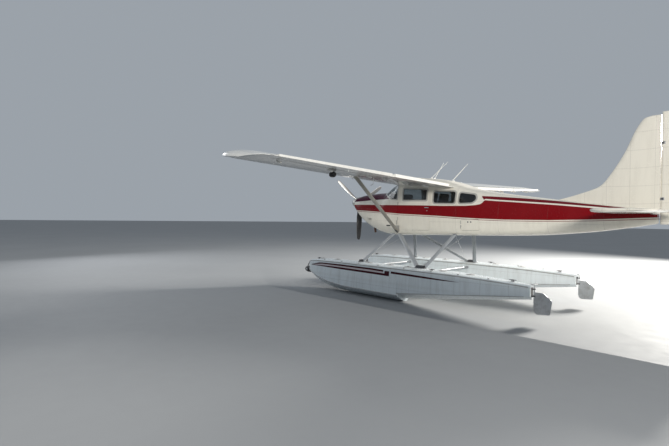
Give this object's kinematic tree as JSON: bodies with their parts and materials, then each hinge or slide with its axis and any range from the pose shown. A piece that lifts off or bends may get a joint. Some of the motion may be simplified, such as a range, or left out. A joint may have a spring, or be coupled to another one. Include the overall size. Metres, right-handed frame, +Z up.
{
  "type": "floatplane",
  "caption": "High-wing, strut-braced light floatplane with a nose propeller, a hollow cabin with hinged doors, control surfaces and stepped floats with water rudders.",
  "frame": {"origin": "on the surface it stands on, midway between the floats, under the middle of the overall length", "axes": "+X to the aircraft's left, +Y aft, +Z up; both keels touch z = 0"},
  "size_m": [10.924, 8.3298, 3.675],
  "materials": {
    "body_paint": "gloss white enamel with a red side band, a maroon cowl top and pinstripes, over riveted sheet",
    "wing_paint": "gloss white enamel over riveted sheet, slightly dulled",
    "strut_paint": "satin white enamel on streamlined tube",
    "float_paint": "gloss pale grey-white enamel with maroon stripes over riveted sheet",
    "propeller_metal": "brushed aluminium, dark anti-glare paint on the rear of the blades",
    "engine_metal": "rough cast metal, hidden under the cowl",
    "bare_metal": "satin bare metal",
    "window_glass": "clear acrylic, faintly tinted",
    "cabin_trim": "dark moulded panels and hard-wearing mat",
    "seat_cloth": "dark woven cloth with sewn channels",
    "bumper_rubber": "weathered black rubber"
  },
  "bodies": {
    "root": {"cabin_shell": "body_paint", "belly_pan": "body_paint", "windshield": "window_glass", "firewall": "bare_metal", "instrument_panel": "cabin_trim", "cabin_floor": "cabin_trim", "left_front_seat": "seat_cloth", "right_front_seat": "seat_cloth", "rear_bench": "seat_cloth", "engine_cowl": "body_paint", "engine": "engine_metal", "tail_cone": "body_paint", "fin": "body_paint", "stabilizer": "body_paint", "front_spreader_bar": "strut_paint", "rear_spreader_bar": "strut_paint", "left_rear_window": "window_glass", "left_aft_window": "window_glass", "left_wing": "wing_paint", "left_wing_strut": "strut_paint", "left_float": "float_paint", "left_bow_bumper": "bumper_rubber", "left_front_float_strut": "strut_paint", "left_diagonal_float_strut": "strut_paint", "left_rear_float_strut": "strut_paint", "left_front_brace_wire": "bare_metal", "left_rear_brace_wire": "bare_metal", "right_rear_window": "window_glass", "right_aft_window": "window_glass", "right_wing": "wing_paint", "right_wing_strut": "strut_paint", "right_float": "float_paint", "right_bow_bumper": "bumper_rubber", "right_front_float_strut": "strut_paint", "right_diagonal_float_strut": "strut_paint", "right_rear_float_strut": "strut_paint", "right_front_brace_wire": "bare_metal", "right_rear_brace_wire": "bare_metal"},
    "propeller": {"propeller": "propeller_metal", "spinner": "body_paint"},
    "left_door": {"left_door": "body_paint", "left_door_window": "window_glass"},
    "right_door": {"right_door": "body_paint", "right_door_window": "window_glass"},
    "baggage_door": {"baggage_door": "body_paint"},
    "left_aileron": {"left_aileron": "wing_paint"},
    "right_aileron": {"right_aileron": "wing_paint"},
    "left_flap": {"left_flap": "wing_paint"},
    "right_flap": {"right_flap": "wing_paint"},
    "elevator": {"elevator": "body_paint"},
    "rudder": {"rudder": "body_paint"},
    "left_water_rudder": {"left_water_rudder": "bare_metal"},
    "right_water_rudder": {"right_water_rudder": "bare_metal"}
  },
  "joints": [
    {"name": "propeller_spin", "type": "hinge", "parent": "root", "child": "propeller", "pos_m": [0, -3.305, 2.25], "axis": [0, 1, 0], "continuous": true},
    {"name": "left_door_swing", "type": "hinge", "parent": "root", "child": "left_door", "pos_m": [0.539, -1.567, 2.05], "axis": [0, 0, -1], "range_deg": [0, 60]},
    {"name": "right_door_swing", "type": "hinge", "parent": "root", "child": "right_door", "pos_m": [-0.539, -1.567, 2.05], "axis": [0, 0, 1], "range_deg": [0, 60]},
    {"name": "baggage_door_swing", "type": "hinge", "parent": "root", "child": "baggage_door", "pos_m": [0.523, 0.123, 1.7], "axis": [0, 0, -1], "range_deg": [0, 90]},
    {"name": "left_aileron_turn", "type": "hinge", "parent": "root", "child": "left_aileron", "pos_m": [3.76, -0.55922, 2.72121], "axis": [0.9944, -0.0914, 0.053], "range_deg": [-18, 18]},
    {"name": "right_aileron_turn", "type": "hinge", "parent": "root", "child": "right_aileron", "pos_m": [-3.76, -0.55922, 2.72121], "axis": [0.9944, 0.0914, -0.053], "range_deg": [-18, 18]},
    {"name": "left_flap_turn", "type": "hinge", "parent": "root", "child": "left_flap", "pos_m": [1.57, -0.44927, 2.62185], "axis": [-0.9994, -0.0022, -0.0353], "range_deg": [0, 40]},
    {"name": "right_flap_turn", "type": "hinge", "parent": "root", "child": "right_flap", "pos_m": [-1.57, -0.44927, 2.62185], "axis": [-0.9994, 0.0022, 0.0353], "range_deg": [0, 40]},
    {"name": "elevator_turn", "type": "hinge", "parent": "root", "child": "elevator", "pos_m": [0, 3.46, 1.99], "axis": [1, 0, 0], "range_deg": [-21, 28]},
    {"name": "rudder_turn", "type": "hinge", "parent": "root", "child": "rudder", "pos_m": [0, 3.575, 2.7], "axis": [0, 0, 1], "range_deg": [-24, 24]},
    {"name": "left_water_rudder_turn", "type": "hinge", "parent": "root", "child": "left_water_rudder", "pos_m": [1.17, 1.96, 0.56], "axis": [0, 0, 1], "range_deg": [-24, 24]},
    {"name": "right_water_rudder_turn", "type": "hinge", "parent": "root", "child": "right_water_rudder", "pos_m": [-1.17, 1.96, 0.56], "axis": [0, 0, 1], "range_deg": [-24, 24]}
  ],
  "couplings": [
    {"joint": "right_aileron_turn", "follows": "left_aileron_turn", "ratio": -1},
    {"joint": "right_flap_turn", "follows": "left_flap_turn", "ratio": 1},
    {"joint": "left_water_rudder_turn", "follows": "rudder_turn", "ratio": 1},
    {"joint": "right_water_rudder_turn", "follows": "rudder_turn", "ratio": 1}
  ]
}
